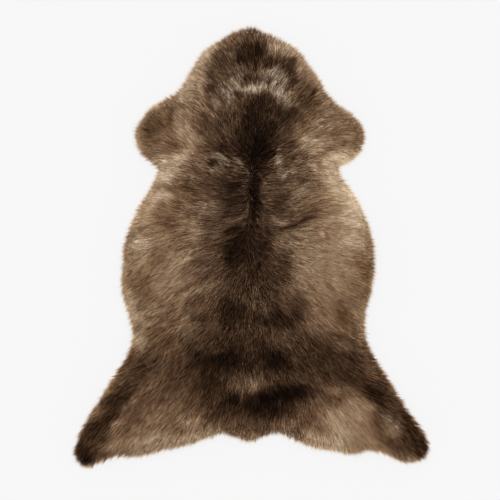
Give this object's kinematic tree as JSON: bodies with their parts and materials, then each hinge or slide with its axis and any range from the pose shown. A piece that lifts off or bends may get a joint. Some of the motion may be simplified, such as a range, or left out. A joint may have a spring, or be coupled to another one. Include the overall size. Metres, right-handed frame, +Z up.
{
  "type": "sheepskin",
  "caption": "Sheepskin lying flat, wool side up: long brown wool on a one-piece hide with a rounded head end, shoulder flaps, a waist and spread hind-leg lobes.",
  "frame": {"origin": "on the surface that the skin lies on, under the middle of its length and width", "axes": "+Y along the skin towards the head end, +X to its right seen from above, +Z up out of the wool"},
  "size_m": [0.8118, 1.0049, 0.0419],
  "materials": {
    "wool": "matte combed wool",
    "hide": "suede"
  },
  "bodies": {
    "root": {"pelt": "wool"}
  },
  "joints": []
}
